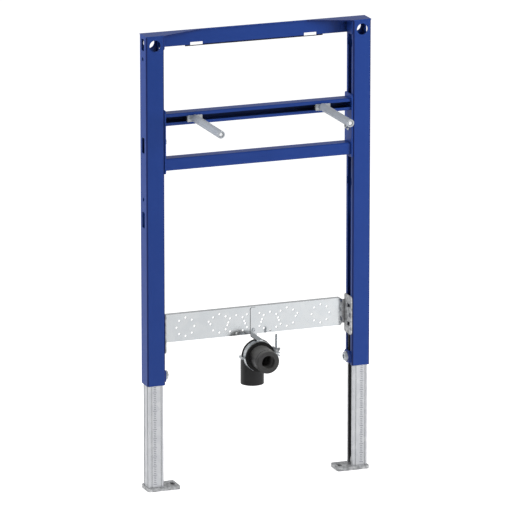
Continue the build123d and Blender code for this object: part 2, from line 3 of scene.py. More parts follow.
import bmesh
import bpy
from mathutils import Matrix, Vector


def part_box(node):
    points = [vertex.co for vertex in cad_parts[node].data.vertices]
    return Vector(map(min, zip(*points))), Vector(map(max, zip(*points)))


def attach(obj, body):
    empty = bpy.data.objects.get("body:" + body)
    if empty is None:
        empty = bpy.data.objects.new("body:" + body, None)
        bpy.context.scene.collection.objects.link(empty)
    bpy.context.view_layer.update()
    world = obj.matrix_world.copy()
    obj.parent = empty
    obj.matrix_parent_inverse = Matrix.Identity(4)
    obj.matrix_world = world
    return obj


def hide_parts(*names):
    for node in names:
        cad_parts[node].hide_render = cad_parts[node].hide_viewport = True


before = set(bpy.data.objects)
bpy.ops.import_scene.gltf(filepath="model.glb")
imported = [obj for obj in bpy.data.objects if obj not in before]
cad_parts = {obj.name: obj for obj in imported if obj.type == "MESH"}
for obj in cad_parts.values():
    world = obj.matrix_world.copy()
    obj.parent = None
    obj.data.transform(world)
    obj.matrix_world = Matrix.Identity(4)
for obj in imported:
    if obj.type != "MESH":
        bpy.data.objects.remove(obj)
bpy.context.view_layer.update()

# Uprights: two C-profiles cold-rolled from steel strip, with the holes punched before rolling, hung on a
# line and powder coated a deep blue. Inside the hollow profile the coat is painted nearly black, as painted
# shade.
MM = 0.001


def srgb(code):
    """Linear colour, with alpha, from an sRGB hex value."""
    channels = [int(code[i:i + 2], 16) / 255 for i in (1, 3, 5)]
    linear = [c / 12.92 if c <= 0.04045 else ((c + 0.055) / 1.055) ** 2.4 for c in channels]
    return (*linear, 1.0)


def add_node(tree, kind, values=None, links=None, **settings):
    """Add one node, set its fields and socket values, and link its inputs from other nodes' outputs."""
    node = tree.nodes.new(kind)
    for name, value in settings.items():
        setattr(node, name, value)
    for socket, value in (values or {}).items():
        node.inputs[socket].default_value = value
    for socket, source in (links or {}).items():
        tree.links.new(source, node.inputs[socket])
    return node


def start_material(name, **values):
    """A new material with one Principled shader, and the Object coordinates its patterns are laid out on."""
    material = bpy.data.materials.new(name)
    material.use_nodes = True
    tree = material.node_tree
    shader = tree.nodes["Principled BSDF"]
    for socket, value in values.items():
        shader.inputs[socket.replace("_", " ")].default_value = value
    place = add_node(tree, "ShaderNodeTexCoord").outputs["Object"]
    return material, tree, shader, place


def openness(tree, reach, shut, wide, easing="LINEAR"):
    """How open a point of a piece lies: 0 deep in a hollow of that piece, 1 on an open face."""
    cover = add_node(tree, "ShaderNodeAmbientOcclusion", {"Distance": reach}, samples=8, only_local=True)
    return add_node(
        tree, "ShaderNodeMapRange", {"From Min": shut, "From Max": wide}, {"Value": cover.outputs["AO"]},
        interpolation_type=easing,
    ).outputs["Result"]


def face_direction(tree):
    """The direction a face looks in, as three sockets along the axes of the frame."""
    normal = add_node(tree, "ShaderNodeTexCoord").outputs["Normal"]
    return add_node(tree, "ShaderNodeSeparateXYZ", None, {"Vector": normal}).outputs


def coat_nodes(material, *names):
    """Give CAD nodes their material."""
    for name in names:
        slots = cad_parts[name].data.materials
        slots.clear()
        slots.append(material)


# Polyester powder coat, sprayed and baked: a satin film with a soft orange-peel ripple. The ripple is about
# 1 mm on the real coat and is drawn three times as coarse to show. Its hollows are painted nearly black, as
# painted shade, and its bends are painted as a darker line of shade.
COAT_RIPPLE = 3 * MM
COAT_CLOUD = 90 * MM
COAT_HOLLOW = 26 * MM
# Sockets of a colour Mix node: its factor, the two colours that it mixes, and the colour that it gives.
FACTOR = 0
COLOUR_A = 6
COLOUR_B = 7
MIXED = 2
blue_coat, tree, shader, place = start_material("blue_powder_coat", Roughness=0.38, Specular_IOR_Level=0.27)
cloud = add_node(tree, "ShaderNodeTexNoise", {"Scale": 1 / COAT_CLOUD, "Detail": 2.0}, {"Vector": place})
film = add_node(
    tree, "ShaderNodeMix", {COLOUR_A: srgb("#1B3D8A"), COLOUR_B: srgb("#214391")},
    {FACTOR: cloud.outputs["Fac"]}, data_type="RGBA",
)
# Painted shade: deep in the piece's own hollows the coat is mixed towards nearly black.
unshaded_share = openness(tree, COAT_HOLLOW, shut=0.3, wide=0.8, easing="SMOOTHSTEP")
coat = add_node(
    tree, "ShaderNodeMix", {COLOUR_A: srgb("#0E1120")}, {FACTOR: unshaded_share, COLOUR_B: film.outputs[MIXED]},
    data_type="RGBA",
)
# Painted shade: faces that look halfway between front and side, as on the bends, are darkened to a line.
facing = face_direction(tree)
skew = add_node(tree, "ShaderNodeMath", None, {0: facing["X"], 1: facing["Y"]}, operation="MULTIPLY")
corner = add_node(tree, "ShaderNodeMath", None, {0: skew.outputs[0]}, operation="ABSOLUTE")
bend = add_node(
    tree, "ShaderNodeMapRange", {"From Min": 0.1, "From Max": 0.35, "To Max": 0.85},
    {"Value": corner.outputs[0]},
)
drawn = add_node(
    tree, "ShaderNodeMix", {COLOUR_B: srgb("#0C1A55")},
    {FACTOR: bend.outputs[0], COLOUR_A: coat.outputs[MIXED]}, data_type="RGBA",
)
tree.links.new(drawn.outputs[MIXED], shader.inputs["Base Color"])
ripple = add_node(tree, "ShaderNodeTexNoise", {"Scale": 1 / COAT_RIPPLE, "Detail": 1.0}, {"Vector": place})
peel = add_node(
    tree, "ShaderNodeBump", {"Strength": 0.12, "Distance": 0.25 * MM}, {"Height": ripple.outputs["Fac"]}
)
tree.links.new(peel.outputs[0], shader.inputs["Normal"])
coat_nodes(blue_coat, "left_upright", "right_upright")

# Top rail: steel sheet folded to an angle, laid over both uprights and coated with them. Its lower lip is
# turned in under the web, and a nearly black band along its lower edge is painted shade under the lip.
LIP_SHADE_BAND = 2.4 * MM
LIP_FADE = 0.9 * MM
top_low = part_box("top_rail")[0]
lip_shade_coat = blue_coat.copy()
lip_shade_coat.name = "blue_powder_coat_painted_lip_shade"
tree = lip_shade_coat.node_tree
shader = tree.nodes["Principled BSDF"]
place = add_node(tree, "ShaderNodeTexCoord").outputs["Object"]
height = add_node(tree, "ShaderNodeSeparateXYZ", None, {"Vector": place})
line_top = top_low.z + LIP_SHADE_BAND
above = add_node(
    tree, "ShaderNodeMapRange", {"From Min": line_top, "From Max": line_top + LIP_FADE},
    {"Value": height.outputs["Z"]},
)
# Painted shade: the coat is nearly black in a band along the rail's lower edge.
lip_shaded = add_node(
    tree, "ShaderNodeMix", {COLOUR_A: srgb("#0B1030")},
    {FACTOR: above.outputs[0], COLOUR_B: shader.inputs["Base Color"].links[0].from_socket}, data_type="RGBA",
)
tree.links.new(lip_shaded.outputs[MIXED], shader.inputs["Base Color"])
coat_nodes(lip_shade_coat, "top_rail")

# Corner brackets: pressed steel angles that stiffen the corners between the rail's web and the uprights, and
# are coated with them. One hexagon screw holds each bracket to the web.
coat_nodes(blue_coat, "left_corner_bracket", "right_corner_bracket")

# Bright zinc plate on cold-formed screws: a thin even metal layer, blue-white, fairly glossy, with faint
# clouding from the passivation bath in patches about 8 mm across.
PLATE_CLOUD = 8 * MM
bright_zinc, tree, shader, place = start_material("bright_zinc_plate", Metallic=1.0)
cloud = add_node(tree, "ShaderNodeTexNoise", {"Scale": 1 / PLATE_CLOUD, "Detail": 3.0}, {"Vector": place})
tint = add_node(
    tree, "ShaderNodeMix", {COLOUR_A: srgb("#C9CED3"), COLOUR_B: srgb("#DDE1E3")},
    {FACTOR: cloud.outputs["Fac"]}, data_type="RGBA",
)
tree.links.new(tint.outputs[MIXED], shader.inputs["Base Color"])
sheen = add_node(
    tree, "ShaderNodeMapRange", {"To Min": 0.18, "To Max": 0.34}, {"Value": cloud.outputs["Fac"]}
)
tree.links.new(sheen.outputs[0], shader.inputs["Roughness"])


def tree_with(name, sizes):
    """A new geometry tree with one named length input for each size, and its input and output nodes."""
    tree = bpy.data.node_groups.new(name, "GeometryNodeTree")
    tree.interface.new_socket("Geometry", in_out="INPUT", socket_type="NodeSocketGeometry")
    for size in sizes:
        tree.interface.new_socket(size, in_out="INPUT", socket_type="NodeSocketFloat")
    tree.interface.new_socket("Geometry", in_out="OUTPUT", socket_type="NodeSocketGeometry")
    return tree, add_node(tree, "NodeGroupInput"), add_node(tree, "NodeGroupOutput")


def grow(name, tree, points, facings, sizes):
    """Run a geometry tree on points that each face a direction, and keep the result as a plain mesh."""
    mesh = bpy.data.meshes.new(name)
    mesh.from_pydata(points, [], [])
    facing = mesh.attributes.new("facing", "FLOAT_VECTOR", "POINT")
    for i, direction in enumerate(facings):
        facing.data[i].vector = direction
    piece = bpy.data.objects.new(name, mesh)
    bpy.context.scene.collection.objects.link(piece)
    modifier = piece.modifiers.new("grow", "NODES")
    modifier.node_group = tree
    for item in tree.interface.items_tree:
        if item.in_out == "INPUT" and item.name in sizes:
            modifier[item.identifier] = sizes[item.name]
    graph = bpy.context.evaluated_depsgraph_get()
    grown = bpy.data.meshes.new_from_object(piece.evaluated_get(graph))
    piece.modifiers.remove(modifier)
    piece.data = grown
    return piece


# Hexagon screw heads: washer face, six-sided forged head that narrows a little to its top, and a socket, set
# on points that carry the direction of the screw's axis.
SCREW_SIZES = (
    "Flats", "Head Height", "Draft", "Washer Diameter", "Washer Height", "Socket Diameter", "Socket Depth",
)
HEX_CORNER = 1 / math.sqrt(3)
screw_heads, given, result = tree_with("hexagon_screw_heads", SCREW_SIZES)


def part_of(size, factor):
    """A share of one of the screw's sizes."""
    return add_node(
        screw_heads, "ShaderNodeMath", {1: factor}, {0: given.outputs[size]}, operation="MULTIPLY"
    ).outputs[0]


def raised(mesh, height):
    """A solid of the screw lifted along its axis."""
    lift = add_node(screw_heads, "ShaderNodeCombineXYZ", None, {"Z": height})
    return add_node(
        screw_heads, "GeometryNodeTransform", None, {"Geometry": mesh, "Translation": lift.outputs[0]}
    ).outputs[0]


head_radius = part_of("Flats", HEX_CORNER)
washer = add_node(
    screw_heads, "GeometryNodeMeshCylinder", {"Vertices": 32},
    {"Radius": part_of("Washer Diameter", 0.5), "Depth": given.outputs["Washer Height"]},
)
top_radius = add_node(
    screw_heads, "ShaderNodeMath", None, {0: head_radius, 1: given.outputs["Draft"]}, operation="SUBTRACT"
)
head = add_node(
    screw_heads, "GeometryNodeMeshCone", {"Vertices": 6},
    {"Radius Top": top_radius.outputs[0], "Radius Bottom": head_radius,
     "Depth": given.outputs["Head Height"]},
)
socket = add_node(
    screw_heads, "GeometryNodeMeshCylinder", {"Vertices": 6},
    {"Radius": part_of("Socket Diameter", 0.5), "Depth": part_of("Socket Depth", 2.0)},
)
socket_head = add_node(
    screw_heads, "GeometryNodeMeshBoolean", None,
    {"Mesh 1": head.outputs["Mesh"], "Mesh 2": raised(socket.outputs[0], given.outputs["Head Height"])},
    operation="DIFFERENCE",
)
screw = add_node(
    screw_heads, "GeometryNodeMeshBoolean", None,
    {"Mesh 2": raised(washer.outputs[0], part_of("Washer Height", 0.5))}, operation="UNION",
)
screw_heads.links.new(socket_head.outputs[0], screw.inputs["Mesh 2"])
axis = add_node(screw_heads, "GeometryNodeInputNamedAttribute", {"Name": "facing"}, data_type="FLOAT_VECTOR")
turn = add_node(
    screw_heads, "FunctionNodeAlignRotationToVector", None, {"Vector": axis.outputs["Attribute"]}, axis="Z"
)
spread = add_node(
    screw_heads, "GeometryNodeInstanceOnPoints", None,
    {"Points": given.outputs["Geometry"], "Instance": screw.outputs[0], "Rotation": turn.outputs[0]},
)
solid = add_node(screw_heads, "GeometryNodeRealizeInstances", None, {"Geometry": spread.outputs[0]})
plated = add_node(
    screw_heads, "GeometryNodeSetMaterial", {"Material": bright_zinc}, {"Geometry": solid.outputs[0]}
)
screw_heads.links.new(plated.outputs[0], result.inputs[0])

# Corner screws: two small hexagon screws, one through the tab of each corner bracket into the rail's web.
# They are driven before the frame is coated, so they are blue too.
CORNER_SCREW_DROP = 15 * MM
CORNER_SCREW_INSET = 8 * MM
TAB_THICKNESS = 2 * MM
bracket_low, bracket_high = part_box("right_corner_bracket")
corner_screw_out = bracket_low.x + CORNER_SCREW_INSET
tab_face = bracket_high.y - TAB_THICKNESS
corner_screw_height = bracket_high.z - CORNER_SCREW_DROP
corner_screws = grow(
    "corner_screws", screw_heads,
    [(side * corner_screw_out, tab_face, corner_screw_height) for side in (-1, 1)],
    [(0, -1, 0), (0, -1, 0)],
    {"Flats": 5.5 * MM, "Head Height": 2.4 * MM, "Draft": 0.4 * MM, "Washer Diameter": 7.5 * MM,
     "Washer Height": 0.7 * MM, "Socket Diameter": 3 * MM, "Socket Depth": 1.4 * MM},
)
corner_screws.data.materials.clear()
corner_screws.data.materials.append(blue_coat)
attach(corner_screws, "frame")

# Crossbar unit: two rolled steel bars welded between flat end plates and coated as one, so it slides up and
# down the uprights. A zinc-plated socket screw with a washer clamps each end plate to its upright.
coat_nodes(blue_coat, "rod_bar", "lower_bar", "left_end_plate", "right_end_plate")
coat_nodes(bright_zinc, "left_plate_screw", "right_plate_screw")

# Basin studs: M10 threaded rods, zinc plated, in clamps that slide along the rod bar. A rod's front end is
# ground flat after it is cut, so it is a matt, whiter disc than the plated thread.
FACE_ON = 0.9
# Sockets of a Mix node for plain values.
VALUE_A = 2
VALUE_B = 3
ground_rod = bright_zinc.copy()
ground_rod.name = "bright_zinc_plate_ground_end"
tree = ground_rod.node_tree
shader = tree.nodes["Principled BSDF"]
ground = add_node(
    tree, "ShaderNodeMath", {1: -FACE_ON}, {0: face_direction(tree)["Y"]}, operation="LESS_THAN"
).outputs[0]
tint = add_node(
    tree, "ShaderNodeMix", {COLOUR_B: srgb("#F8FAFC")},
    {FACTOR: ground, COLOUR_A: shader.inputs["Base Color"].links[0].from_socket}, data_type="RGBA",
)
tree.links.new(tint.outputs[MIXED], shader.inputs["Base Color"])
sheen = add_node(
    tree, "ShaderNodeMix", {VALUE_B: 0.5},
    {FACTOR: ground, VALUE_A: shader.inputs["Roughness"].links[0].from_socket},
)
tree.links.new(sheen.outputs[0], shader.inputs["Roughness"])
mirror = add_node(tree, "ShaderNodeMapRange", {"To Min": 1.0, "To Max": 0.05}, {"Value": ground})
tree.links.new(mirror.outputs[0], shader.inputs["Metallic"])
coat_nodes(ground_rod, "left_rod", "right_rod")
coat_nodes(bright_zinc, "left_rod_clamp", "right_rod_clamp")

# Stud sleeves: polypropylene tube, extruded and cut to length, pushed over the rods. It is satin, a little
# cloudy, with faint lines along its length from the die, and a little paler on its cut end.
DIE_LINE = 1.4 * MM
DIE_STRETCH = 0.02
SLEEVE_CLOUD = 22 * MM
sleeve_plastic, tree, shader, place = start_material(
    "sleeve_polypropylene", Roughness=0.42, IOR=1.49, Specular_IOR_Level=0.4
)
cloud = add_node(tree, "ShaderNodeTexNoise", {"Scale": 1 / SLEEVE_CLOUD, "Detail": 2.0}, {"Vector": place})
tint = add_node(
    tree, "ShaderNodeMix", {COLOUR_A: srgb("#A6ACB4"), COLOUR_B: srgb("#B6BCC4")},
    {FACTOR: cloud.outputs["Fac"]}, data_type="RGBA",
)
cut = add_node(
    tree, "ShaderNodeMath", {1: -FACE_ON}, {0: face_direction(tree)["Y"]}, operation="LESS_THAN"
)
pale = add_node(
    tree, "ShaderNodeMix", {COLOUR_B: srgb("#B9BEC5")},
    {FACTOR: cut.outputs[0], COLOUR_A: tint.outputs[MIXED]}, data_type="RGBA",
)
tree.links.new(pale.outputs[MIXED], shader.inputs["Base Color"])
drawn = add_node(tree, "ShaderNodeMapping", {"Scale": (1.0, DIE_STRETCH, 1.0)}, {"Vector": place})
lines = add_node(
    tree, "ShaderNodeTexNoise", {"Scale": 1 / DIE_LINE, "Detail": 1.0}, {"Vector": drawn.outputs[0]}
)
relief = add_node(
    tree, "ShaderNodeBump", {"Strength": 0.1, "Distance": 0.15 * MM}, {"Height": lines.outputs["Fac"]}
)
tree.links.new(relief.outputs[0], shader.inputs["Normal"])
coat_nodes(sleeve_plastic, "left_sleeve", "right_sleeve")

# Legs: C-profile rolled from strip that was hot-dip galvanised beforehand. It telescopes in the upright and
# carries a height scale on its front. The zinc is matt grey, with soft crystal flowers and lines from the
# rolls. Inside the profile it is painted dark and dull, as painted shade.
ZINC_FLOWER = 11 * MM
ROLL_LINE = 1.6 * MM
ROLL_STRETCH = 0.015
LEG_HOLLOW = 60 * MM
galvanised, tree, shader, place = start_material("galvanised_strip", Specular_IOR_Level=0.2)
flowers = add_node(
    tree, "ShaderNodeTexVoronoi", {"Scale": 1 / ZINC_FLOWER, "Randomness": 1.0}, {"Vector": place},
    feature="F1",
)
flower = add_node(tree, "ShaderNodeSeparateColor", None, {"Color": flowers.outputs["Color"]})
rolled = add_node(tree, "ShaderNodeMapping", {"Scale": (1.0, 1.0, ROLL_STRETCH)}, {"Vector": place})
lines = add_node(
    tree, "ShaderNodeTexNoise", {"Scale": 1 / ROLL_LINE, "Detail": 2.0}, {"Vector": rolled.outputs[0]}
)
blend = add_node(
    tree, "ShaderNodeMath", None, {0: flower.outputs["Red"], 1: lines.outputs["Fac"]}, operation="MULTIPLY"
)
tint = add_node(
    tree, "ShaderNodeMix", {COLOUR_A: srgb("#DADCE0"), COLOUR_B: srgb("#EEEFF1")},
    {FACTOR: blend.outputs[0]}, data_type="RGBA",
)
# Painted shade: deep inside the profile the zinc is painted dark grey and made less metallic.
unshaded_share = openness(tree, LEG_HOLLOW, shut=0.4, wide=0.8, easing="SMOOTHSTEP")
zinc = add_node(
    tree, "ShaderNodeMix", {COLOUR_A: srgb("#606061")}, {FACTOR: unshaded_share, COLOUR_B: tint.outputs[MIXED]},
    data_type="RGBA",
)
tree.links.new(zinc.outputs[MIXED], shader.inputs["Base Color"])
unshaded_metal = add_node(tree, "ShaderNodeMapRange", {"To Min": 0.0, "To Max": 0.88}, {"Value": unshaded_share})
tree.links.new(unshaded_metal.outputs[0], shader.inputs["Metallic"])
sheen = add_node(
    tree, "ShaderNodeMapRange", {"To Min": 0.42, "To Max": 0.52}, {"Value": flower.outputs["Green"]}
)
tree.links.new(sheen.outputs[0], shader.inputs["Roughness"])
relief = add_node(
    tree, "ShaderNodeBump", {"Strength": 0.25, "Distance": 0.2 * MM}, {"Height": lines.outputs["Fac"]}
)
tree.links.new(relief.outputs[0], shader.inputs["Normal"])
coat_nodes(galvanised, "left_leg", "right_leg")

# The height scale: short bars embossed on the leg's front, painted darker and duller than the strip as the
# painted shade of pressed marks. Every fifth one is longer.
TICK_MOTTLE = 3 * MM
LONG_EVERY = 5.0
SHORT_TICK = 0.62
# Painted shade: the bars are darker, duller zinc than the strip around them.
tick_shade_zinc, tree, shader, place = start_material("tick_shade_zinc", Metallic=0.7, Roughness=0.6)
cloud = add_node(tree, "ShaderNodeTexNoise", {"Scale": 1 / TICK_MOTTLE, "Detail": 3.0}, {"Vector": place})
tint = add_node(
    tree, "ShaderNodeMix", {COLOUR_A: srgb("#8A8B98"), COLOUR_B: srgb("#B4B5BC")},
    {FACTOR: cloud.outputs["Fac"]}, data_type="RGBA",
)
tree.links.new(tint.outputs[MIXED], shader.inputs["Base Color"])
scale_ticks, given, result = tree_with(
    "height_scale_ticks", ("Pitch", "Count", "Tick Length", "Tick Height", "Rise")
)
stamp = add_node(
    scale_ticks, "ShaderNodeCombineXYZ", None,
    {"X": given.outputs["Tick Length"], "Y": given.outputs["Rise"], "Z": given.outputs["Tick Height"]},
)
tick = add_node(scale_ticks, "GeometryNodeMeshCube", None, {"Size": stamp.outputs[0]})
climb = add_node(scale_ticks, "ShaderNodeCombineXYZ", None, {"Z": given.outputs["Pitch"]})
row = add_node(
    scale_ticks, "GeometryNodeMeshLine", None, {"Count": given.outputs["Count"], "Offset": climb.outputs[0]}
)
columns = add_node(
    scale_ticks, "GeometryNodeInstanceOnPoints", None,
    {"Points": given.outputs["Geometry"], "Instance": row.outputs[0]},
)
rows = add_node(scale_ticks, "GeometryNodeRealizeInstances", None, {"Geometry": columns.outputs[0]})
number = add_node(scale_ticks, "GeometryNodeInputIndex")
step = add_node(scale_ticks, "ShaderNodeMath", {1: LONG_EVERY}, {0: number.outputs[0]}, operation="MODULO")
long_one = add_node(scale_ticks, "ShaderNodeMath", {1: 0.5}, {0: step.outputs[0]}, operation="LESS_THAN")
stretch = add_node(
    scale_ticks, "ShaderNodeMapRange", {"To Min": SHORT_TICK, "To Max": 1.0}, {"Value": long_one.outputs[0]}
)
shape = add_node(scale_ticks, "ShaderNodeCombineXYZ", {"Y": 1.0, "Z": 1.0}, {"X": stretch.outputs[0]})
ticks = add_node(
    scale_ticks, "GeometryNodeInstanceOnPoints", None,
    {"Points": rows.outputs[0], "Instance": tick.outputs[0], "Scale": shape.outputs[0]},
)
solid = add_node(scale_ticks, "GeometryNodeRealizeInstances", None, {"Geometry": ticks.outputs[0]})
pressed = add_node(
    scale_ticks, "GeometryNodeSetMaterial", {"Material": tick_shade_zinc}, {"Geometry": solid.outputs[0]}
)
scale_ticks.links.new(pressed.outputs[0], result.inputs[0])

TICK_RISE = 0.3 * MM
SCALE_FROM_OUTSIDE = 14 * MM
SCALE_START = 7 * MM
SCALE_PITCH = 4 * MM
SCALE_COUNT = 58.0
for side, body in ((-1, "left_leg"), (1, "right_leg")):
    leg_low, leg_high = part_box(body)
    outside = leg_high.x if side > 0 else leg_low.x
    scale_foot = (outside - side * SCALE_FROM_OUTSIDE, leg_low.y, leg_low.z + SCALE_START)
    scale = grow(
        f"{body}_scale", scale_ticks, [scale_foot], [(0, -1, 0)],
        {"Pitch": SCALE_PITCH, "Count": SCALE_COUNT, "Tick Length": 8 * MM, "Tick Height": 1.2 * MM,
         "Rise": 2 * TICK_RISE},
    )
    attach(scale, body)

# Foot plates: steel plate pressed to a shallow tray and galvanised after pressing, so the zinc is thick,
# rough and cloudier than on the strip. Its slot is painted darker, as painted shade. The leg stands over the
# upright tab, and one floor bolt goes through the slot.
DIP_GRAIN = 2.2 * MM
DIP_CLOUD = 7 * MM
DIP_HOLLOW = 12 * MM
dipped_zinc, tree, shader, place = start_material("hot_dip_zinc", Metallic=0.55)
cloud = add_node(tree, "ShaderNodeTexNoise", {"Scale": 1 / DIP_CLOUD, "Detail": 4.0}, {"Vector": place})
runs = add_node(
    tree, "ShaderNodeMapRange", {"From Min": 0.35, "From Max": 0.65}, {"Value": cloud.outputs["Fac"]}
)
tint = add_node(
    tree, "ShaderNodeMix", {COLOUR_A: srgb("#9C9EA0"), COLOUR_B: srgb("#DBDCDE")},
    {FACTOR: runs.outputs[0]}, data_type="RGBA",
)
# Painted shade: in the tray's hollows and slot the zinc is painted dark grey.
unshaded_share = openness(tree, DIP_HOLLOW, shut=0.35, wide=0.75)
zinc = add_node(
    tree, "ShaderNodeMix", {COLOUR_A: srgb("#4A4A4B")}, {FACTOR: unshaded_share, COLOUR_B: tint.outputs[MIXED]},
    data_type="RGBA",
)
tree.links.new(zinc.outputs[MIXED], shader.inputs["Base Color"])
sheen = add_node(
    tree, "ShaderNodeMapRange", {"To Min": 0.35, "To Max": 0.6}, {"Value": cloud.outputs["Fac"]}
)
tree.links.new(sheen.outputs[0], shader.inputs["Roughness"])
grain = add_node(tree, "ShaderNodeTexNoise", {"Scale": 1 / DIP_GRAIN, "Detail": 2.0}, {"Vector": place})
relief = add_node(
    tree, "ShaderNodeBump", {"Strength": 0.35, "Distance": 0.25 * MM}, {"Height": grain.outputs["Fac"]}
)
tree.links.new(relief.outputs[0], shader.inputs["Normal"])
coat_nodes(dipped_zinc, "left_foot_plate", "right_foot_plate")

# Leg clamps: a pressed steel boss at the lower end of each upright, coated blue with it, and a flanged
# zinc-plated hexagon bolt that presses on the leg and holds it at its height.
coat_nodes(blue_coat, "left_clamp_boss", "right_clamp_boss")
coat_nodes(bright_zinc, "left_leg_bolt", "right_leg_bolt")

# Drain rail and its end brackets: the rail is folded and punched from bright galvanised sheet, smooth and
# fairly glossy, with faint flowers, a slight waviness that bends what it reflects, and dark sides where it
# was sheared. The brackets are pressed and galvanised afterwards, like the feet.
SHEET_FLOWER = 14 * MM
SHEET_WAVE = 70 * MM
sheet_zinc, tree, shader, place = start_material("bright_galvanised_sheet", Metallic=1.0)
flowers = add_node(
    tree, "ShaderNodeTexVoronoi", {"Scale": 1 / SHEET_FLOWER, "Randomness": 1.0}, {"Vector": place},
    feature="F1",
)
flower = add_node(tree, "ShaderNodeSeparateColor", None, {"Color": flowers.outputs["Color"]})
tint = add_node(
    tree, "ShaderNodeMix", {COLOUR_A: srgb("#D3D7DA"), COLOUR_B: srgb("#D8DBDD")},
    {FACTOR: flower.outputs["Red"]}, data_type="RGBA",
)
sideways = add_node(tree, "ShaderNodeMath", None, {0: face_direction(tree)["X"]}, operation="ABSOLUTE")
sheared = add_node(
    tree, "ShaderNodeMath", {1: FACE_ON}, {0: sideways.outputs[0]}, operation="GREATER_THAN"
)
zinc = add_node(
    tree, "ShaderNodeMix", {COLOUR_B: srgb("#26272A")},
    {FACTOR: sheared.outputs[0], COLOUR_A: tint.outputs[MIXED]}, data_type="RGBA",
)
tree.links.new(zinc.outputs[MIXED], shader.inputs["Base Color"])
sheen = add_node(
    tree, "ShaderNodeMapRange", {"To Min": 0.12, "To Max": 0.18}, {"Value": flower.outputs["Green"]}
)
tree.links.new(sheen.outputs[0], shader.inputs["Roughness"])
wave = add_node(tree, "ShaderNodeTexNoise", {"Scale": 1 / SHEET_WAVE, "Detail": 1.0}, {"Vector": place})
relief = add_node(
    tree, "ShaderNodeBump", {"Strength": 0.3, "Distance": 2 * MM}, {"Height": wave.outputs["Fac"]}
)
tree.links.new(relief.outputs[0], shader.inputs["Normal"])
coat_nodes(sheet_zinc, "drain_rail")
coat_nodes(dipped_zinc, "left_rail_bracket", "right_rail_bracket")

# Drain bracket: a strip of the rail's sheet, folded forward under the rail to carry the clamp, and held by
# one zinc-plated hexagon screw through its upright end into the rail.
STRIP_THICKNESS = 2 * MM
STRIP_SCREW_RISE = 9 * MM
STRIP_SCREW_SHIFT = -0.8 * MM
coat_nodes(sheet_zinc, "drain_bracket")
rail_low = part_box("drain_rail")[0]
strip_screw = grow(
    "strip_screw", screw_heads,
    [(STRIP_SCREW_SHIFT, rail_low.y - STRIP_THICKNESS, rail_low.z + STRIP_SCREW_RISE)],
    [(0, -1, 0)],
    {"Flats": 7 * MM, "Head Height": 3.2 * MM, "Draft": 0.5 * MM, "Washer Diameter": 9.5 * MM,
     "Washer Height": 0.9 * MM, "Socket Diameter": 4.2 * MM, "Socket Depth": 1.8 * MM},
)
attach(strip_screw, "drain")

# Pipe clamp: two pressed band halves, zinc plated, closed by a wing nut on a threaded bolt. The wing nut is
# cast, so its plating is pale and matt, with a fine grain from the mould.
CAST_GRAIN = 1.8 * MM
matt_zinc, tree, shader, place = start_material("matt_zinc_plate", Metallic=0.4, Roughness=0.5)
grain = add_node(tree, "ShaderNodeTexNoise", {"Scale": 1 / CAST_GRAIN, "Detail": 3.0}, {"Vector": place})
tint = add_node(
    tree, "ShaderNodeMix", {COLOUR_A: srgb("#CDD0D3"), COLOUR_B: srgb("#E4E6E8")},
    {FACTOR: grain.outputs["Fac"]}, data_type="RGBA",
)
tree.links.new(tint.outputs[MIXED], shader.inputs["Base Color"])
relief = add_node(
    tree, "ShaderNodeBump", {"Strength": 0.2, "Distance": 0.2 * MM}, {"Height": grain.outputs["Fac"]}
)
tree.links.new(relief.outputs[0], shader.inputs["Normal"])
coat_nodes(bright_zinc, "upper_clamp_band", "lower_clamp_band")
coat_nodes(matt_zinc, "wing_nut")

# Clamp bolt: M5, zinc plated, with a rolled thread along its whole shank and a forged hexagon head under the
# lower ear. It stands for the plain bolt of the CAD model.
BOLT_HEAD = 3.5 * MM
BOLT_FLATS = 8 * MM
HEAD_BEVEL = 0.6 * MM
HEAD_BEVEL_SHARE = 0.9
THREAD_RADIUS = 2.5 * MM
THREAD_DEPTH = 0.5 * MM
THREAD_PITCH = 0.8 * MM
THREAD_FLANK = 2.6
THREAD_CREST = 0.15
THREAD_SIDES = 24
THREAD_STEPS = 6
bolt_low, bolt_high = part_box("clamp_bolt")
bolt_x = (bolt_low.x + bolt_high.x) / 2
bolt_y = (bolt_low.y + bolt_high.y) / 2


def ring_round_bolt(mesh, height, radii):
    """A ring of points round the bolt's axis at a height, one for each radius."""
    turns = [i / len(radii) * math.tau for i in range(len(radii))]
    return [
        mesh.verts.new((bolt_x + radius * math.cos(turn), bolt_y + radius * math.sin(turn), height))
        for radius, turn in zip(radii, turns)
    ]


def wall_up(mesh, rings):
    """Close a stack of rings, lowest first, with walls between them and a face at each end."""
    for lower, upper in zip(rings, rings[1:]):
        for i in range(len(lower)):
            j = (i + 1) % len(lower)
            mesh.faces.new((lower[i], lower[j], upper[j], upper[i]))
    mesh.faces.new(rings[-1])
    mesh.faces.new(rings[0][::-1])


def keep_mesh(name, mesh, material):
    """Keep a mesh that was built up here as an object of its own, in its material."""
    kept = bpy.data.meshes.new(name)
    mesh.to_mesh(kept)
    mesh.free()
    kept.materials.append(material)
    piece = bpy.data.objects.new(name, kept)
    bpy.context.scene.collection.objects.link(piece)
    return piece


